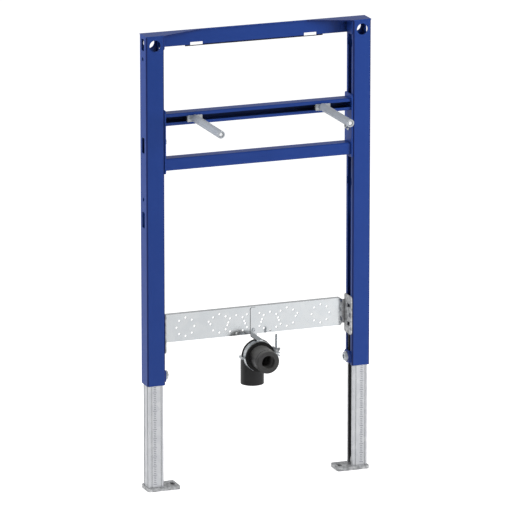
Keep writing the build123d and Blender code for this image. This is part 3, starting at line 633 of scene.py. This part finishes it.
bolt = bmesh.new()
shank = bolt_high.z - bolt_low.z - BOLT_HEAD
steps = int(shank / THREAD_PITCH * THREAD_STEPS)
thread_rings = []
for step in range(steps + 1):
    height = bolt_low.z + BOLT_HEAD + shank * step / steps
    taper = min(1, (bolt_high.z - height) / THREAD_PITCH)
    radii = []
    for i in range(THREAD_SIDES):
        phase = ((height - bolt_low.z) / THREAD_PITCH - i / THREAD_SIDES) % 1
        depth = THREAD_DEPTH * min(1, max(0, THREAD_FLANK * abs(phase - 0.5) - THREAD_CREST))
        radii.append(THREAD_RADIUS - THREAD_DEPTH * (1 - taper) - depth * taper)
    thread_rings.append(ring_round_bolt(bolt, height, radii))
wall_up(bolt, thread_rings)
head_corner = BOLT_FLATS * HEX_CORNER
wall_up(bolt, [
    ring_round_bolt(bolt, bolt_low.z + rise, [head_corner * share] * 6)
    for rise, share in ((0, HEAD_BEVEL_SHARE), (HEAD_BEVEL, 1.0), (BOLT_HEAD, 1.0))
])
threaded_bolt = keep_mesh("threaded_clamp_bolt", bolt, bright_zinc)
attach(threaded_bolt, "drain")
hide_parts("clamp_bolt")

# Drain bend: polyethylene, moulded in one piece, black, with a satin skin that is slightly uneven. Its
# upper side is painted paler as a painted highlight, and inside the pipe it is painted pale as painted
# light in the hollow.
SKIN_GRAIN = 1.5 * MM
SKIN_CLOUD = 30 * MM
PIPE_HOLLOW = 60 * MM


def lit_on_top(tree, skin):
    """A skin colour made paler on the faces that look up, as a painted highlight."""
    top_highlight = add_node(
        tree, "ShaderNodeMapRange", {"From Min": 0.1, "From Max": 0.95},
        {"Value": face_direction(tree)["Z"]}, interpolation_type="SMOOTHSTEP",
    )
    paler = add_node(
        tree, "ShaderNodeMix", {COLOUR_B: srgb("#6C6C6A")}, {FACTOR: top_highlight.outputs[0], COLOUR_A: skin},
        data_type="RGBA",
    )
    return paler.outputs[MIXED]


pipe_plastic, tree, shader, place = start_material("black_polyethylene", IOR=1.51, Specular_IOR_Level=0.3)
cloud = add_node(tree, "ShaderNodeTexNoise", {"Scale": 1 / SKIN_CLOUD, "Detail": 2.0}, {"Vector": place})
tint = add_node(
    tree, "ShaderNodeMix", {COLOUR_A: srgb("#1B1B1C"), COLOUR_B: srgb("#232324")},
    {FACTOR: cloud.outputs["Fac"]}, data_type="RGBA",
)
# Painted light: deep in the pipe's own hollow the skin is painted pale grey.
out_of_hollow_light = openness(tree, PIPE_HOLLOW, shut=0.15, wide=0.5)
skin = add_node(
    tree, "ShaderNodeMix", {COLOUR_A: srgb("#9A9A98")}, {FACTOR: out_of_hollow_light, COLOUR_B: tint.outputs[MIXED]},
    data_type="RGBA",
)
# Painted highlight: the upper faces are made paler.
tree.links.new(lit_on_top(tree, skin.outputs[MIXED]), shader.inputs["Base Color"])
sheen = add_node(
    tree, "ShaderNodeMapRange", {"To Min": 0.26, "To Max": 0.38}, {"Value": cloud.outputs["Fac"]}
)
tree.links.new(sheen.outputs[0], shader.inputs["Roughness"])
grain = add_node(tree, "ShaderNodeTexNoise", {"Scale": 1 / SKIN_GRAIN, "Detail": 2.0}, {"Vector": place})
relief = add_node(
    tree, "ShaderNodeBump", {"Strength": 0.1, "Distance": 0.15 * MM}, {"Height": grain.outputs["Fac"]}
)
tree.links.new(relief.outputs[0], shader.inputs["Normal"])
coat_nodes(pipe_plastic, "drain_bend")

# Clamp liner and rubber collar: EPDM, moulded matt. The liner is deep black. The collar's softer rubber has
# more chalk in it, so it is greyer. Both have a fine dusty bloom on their skin. Their bores are painted
# paler, as painted light, and their upper faces paler, as a painted highlight.
BLOOM = 12 * MM
BORE_REACH = 40 * MM
BORE_PAINTED_LIGHT = "#5C5C5C"


def rubber_of(name, dark, paler):
    """Matt rubber, between its own colour and the colour of its bloom."""
    material, tree, shader, place = start_material(name, IOR=1.5, Specular_IOR_Level=0.32)
    cloud = add_node(tree, "ShaderNodeTexNoise", {"Scale": 1 / BLOOM, "Detail": 5.0}, {"Vector": place})
    tint = add_node(
        tree, "ShaderNodeMix", {COLOUR_A: srgb(dark), COLOUR_B: srgb(paler)}, {FACTOR: cloud.outputs["Fac"]},
        data_type="RGBA",
    )
    # Painted light: deep in the piece's own bore the skin is painted paler.
    out_of_hollow_light = openness(tree, BORE_REACH, shut=0.2, wide=0.6)
    skin = add_node(
        tree, "ShaderNodeMix", {COLOUR_A: srgb(BORE_PAINTED_LIGHT)}, {FACTOR: out_of_hollow_light, COLOUR_B: tint.outputs[MIXED]},
        data_type="RGBA",
    )
    # Painted highlight: the upper faces are made paler.
    tree.links.new(lit_on_top(tree, skin.outputs[MIXED]), shader.inputs["Base Color"])
    sheen = add_node(
        tree, "ShaderNodeMapRange", {"To Min": 0.55, "To Max": 0.75}, {"Value": cloud.outputs["Fac"]}
    )
    tree.links.new(sheen.outputs[0], shader.inputs["Roughness"])
    grain = add_node(tree, "ShaderNodeTexNoise", {"Scale": 1 / SKIN_GRAIN, "Detail": 3.0}, {"Vector": place})
    relief = add_node(
        tree, "ShaderNodeBump", {"Strength": 0.15, "Distance": 0.2 * MM}, {"Height": grain.outputs["Fac"]}
    )
    tree.links.new(relief.outputs[0], shader.inputs["Normal"])
    return material


liner_rubber = rubber_of("black_epdm_rubber", "#131313", "#1E1E1E")
collar_rubber = rubber_of("grey_black_epdm_rubber", "#393939", "#474747")
coat_nodes(liner_rubber, "clamp_liner")
coat_nodes(collar_rubber, "rubber_collar")

# Sealing lips: two rings moulded inside the collar, which slope inwards and grip the outlet pipe. Their
# rubber is painted the palest of the three, as painted light on lips that lie in the shade of the bore.
COLLAR_BORE = 14.5 * MM
LIP_BORE = 12.4 * MM
LIP_DEPTHS = (11 * MM, 17 * MM)
LIP_LENGTH = 4 * MM
LIP_BED = 0.3 * MM
LIP_FOOT = 0.6 * MM
LIP_FOOT_RISE = 0.2 * MM
LIP_THICKNESS = 2.4 * MM
TIP_FRONT = 0.4 * MM
TIP_RISE = 0.5 * MM
LIP_SIDES = 64
lit_lip_rubber = rubber_of("epdm_rubber_painted_light", "#5A5A5A", "#686868")
collar_low, collar_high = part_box("rubber_collar")
collar_axis = (collar_low.z + collar_high.z) / 2
lips = bmesh.new()
for depth in LIP_DEPTHS:
    front = collar_low.y + depth
    tip = front + LIP_LENGTH
    back = front + LIP_THICKNESS
    section = (
        (COLLAR_BORE + LIP_BED, front),
        (COLLAR_BORE - LIP_FOOT, front + LIP_FOOT_RISE),
        (LIP_BORE + TIP_FRONT, tip),
        (LIP_BORE, tip + TIP_RISE),
        (LIP_BORE + TIP_RISE, tip + 2 * TIP_RISE),
        (COLLAR_BORE - LIP_FOOT, back),
        (COLLAR_BORE + LIP_BED, back),
    )
    turns = []
    for i in range(LIP_SIDES):
        angle = i / LIP_SIDES * math.tau
        turns.append([
            lips.verts.new((radius * math.cos(angle), along, collar_axis + radius * math.sin(angle)))
            for radius, along in section
        ])
    for i in range(LIP_SIDES):
        here, there = turns[i], turns[(i + 1) % LIP_SIDES]
        for a in range(len(section)):
            b = (a + 1) % len(section)
            lips.faces.new((here[a], here[b], there[b], there[a]))
bmesh.ops.recalc_face_normals(lips, faces=lips.faces)
for face in lips.faces:
    face.smooth = True
collar_lips = keep_mesh("collar_lips", lips, lit_lip_rubber)
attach(collar_lips, "drain")

# Studio: a pale painted floor and a white surround that is dimmer overhead. Both are white to the camera,
# the floor keeps a small shadow where something stands on it, and metal mirrors both.
FLOOR_REACH = 14
FLOOR_GLOW = 0.75
FLOOR_IN_METAL = 0.15
CONTACT_REACH = 40 * MM
OVERHEAD_LIGHT = 0.32
OVERHEAD_IN_METAL = 0.5
HORIZON_BAND = 0.2
floor_mesh = bpy.data.meshes.new("studio_floor")
floor_mesh.from_pydata(
    [(x * FLOOR_REACH, y * FLOOR_REACH, 0) for x, y in ((-1, -1), (1, -1), (1, 1), (-1, 1))],
    [],
    [(0, 1, 2, 3)],
)
floor = bpy.data.objects.new("studio_floor", floor_mesh)
bpy.context.scene.collection.objects.link(floor)


def ray_kinds(tree):
    """1 for a ray that the camera sees, also through glass, and 1 for a ray that a glossy face mirrors."""
    path = add_node(tree, "ShaderNodeLightPath").outputs
    seen = add_node(
        tree, "ShaderNodeMath", None, {0: path["Is Camera Ray"], 1: path["Is Transmission Ray"]},
        operation="MAXIMUM",
    )
    return seen.outputs[0], path["Is Glossy Ray"]


floor_paint = bpy.data.materials.new("floor_paint")
floor_paint.use_nodes = True
tree = floor_paint.node_tree
tree.nodes.clear()
paint = add_node(tree, "ShaderNodeBsdfDiffuse", {"Color": srgb("#F0F0F0")})
seen, mirrored = ray_kinds(tree)
covered = add_node(tree, "ShaderNodeAmbientOcclusion", {"Distance": CONTACT_REACH}, samples=8)
open_floor = add_node(
    tree, "ShaderNodeMapRange", {"From Min": 0.25, "From Max": 0.65, "To Max": FLOOR_GLOW},
    {"Value": covered.outputs["AO"]},
)
bright = add_node(tree, "ShaderNodeMath", None, {0: seen, 1: open_floor.outputs[0]}, operation="MULTIPLY")
strength = add_node(
    tree, "ShaderNodeMath", {1: FLOOR_IN_METAL}, {0: mirrored, 2: bright.outputs[0]},
    operation="MULTIPLY_ADD",
)
glow = add_node(tree, "ShaderNodeEmission", None, {"Strength": strength.outputs[0]})
both = add_node(tree, "ShaderNodeAddShader", None, {0: paint.outputs[0], 1: glow.outputs[0]})
add_node(tree, "ShaderNodeOutputMaterial", None, {"Surface": both.outputs[0]})
floor_mesh.materials.append(floor_paint)

world = bpy.data.worlds.new("white_surround")
bpy.context.scene.world = world
world.use_nodes = True
tree = world.node_tree
background = tree.nodes["Background"]
seen, mirrored = ray_kinds(tree)
toward = add_node(tree, "ShaderNodeTexCoord").outputs["Generated"]
direction = add_node(tree, "ShaderNodeSeparateXYZ", None, {"Vector": toward})
overhead = add_node(
    tree, "ShaderNodeMapRange",
    {"From Min": 0.0, "From Max": HORIZON_BAND, "To Min": 1.0, "To Max": OVERHEAD_LIGHT},
    {"Value": direction.outputs["Z"]}, interpolation_type="SMOOTHSTEP",
)
in_metal = add_node(tree, "ShaderNodeMath", {1: OVERHEAD_IN_METAL}, {0: mirrored}, operation="MULTIPLY")
surround = add_node(
    tree, "ShaderNodeMath", None, {0: overhead.outputs[0], 1: in_metal.outputs[0]}, operation="MAXIMUM"
)
strength = add_node(tree, "ShaderNodeMath", None, {0: surround.outputs[0], 1: seen}, operation="MAXIMUM")
tree.links.new(strength.outputs[0], background.inputs["Strength"])
background.inputs["Color"].default_value = (1, 1, 1, 1)


# Lamps: two soft boxes, one high on the left that lights the uprights' outer sides, and one low at the front
# right. Metal mirrors the surround, not the lamps.
def lamp(name, place, aim, width, height, power):
    """A soft lamp at a place, turned to an aim point."""
    data = bpy.data.lights.new(name, "AREA")
    data.shape = "RECTANGLE"
    data.size = width
    data.size_y = height
    data.energy = power
    box = bpy.data.objects.new(name, data)
    box.location = place
    box.rotation_euler = (Vector(aim) - Vector(place)).to_track_quat("-Z", "Y").to_euler()
    box.visible_glossy = False
    box.visible_camera = False
    bpy.context.scene.collection.objects.link(box)


lamp("left_softbox", place=(-2.3, 0.5, 2.0), aim=(0, 0, 0.6), width=1.0, height=1.6, power=42)
lamp("front_softbox", place=(1.7, -1.3, 1.2), aim=(0, 0, 0.5), width=0.9, height=1.6, power=34)

# Camera: the photograph's view from the front left, slightly above, through a long lens. The focal length is
# in pixels of the square image, and angles are in degrees.
VIEW_AZIMUTH = -20.738
VIEW_ELEVATION = 14.785
VIEW_DISTANCE = 12.2984
VIEW_TARGET = Vector((0, 0, 0.48557))
VIEW_FOCUS = 5860.27
VIEW_DEPTH = 60
IMAGE_SIDE = 512
SENSOR_WIDTH = 36
camera_data = bpy.data.cameras.new("photo_camera")
camera = bpy.data.objects.new("photo_camera", camera_data)
bpy.context.scene.collection.objects.link(camera)
azimuth = math.radians(VIEW_AZIMUTH)
elevation = math.radians(VIEW_ELEVATION)
back = Vector((
    math.sin(azimuth) * math.cos(elevation),
    -math.cos(azimuth) * math.cos(elevation),
    math.sin(elevation),
))
camera.location = VIEW_TARGET + back * VIEW_DISTANCE
camera.rotation_euler = (-back).to_track_quat("-Z", "Y").to_euler()
camera_data.sensor_width = SENSOR_WIDTH
camera_data.lens = VIEW_FOCUS * SENSOR_WIDTH / IMAGE_SIDE
camera_data.clip_end = VIEW_DEPTH
bpy.context.scene.camera = camera
bpy.context.scene.view_settings.view_transform = "Standard"
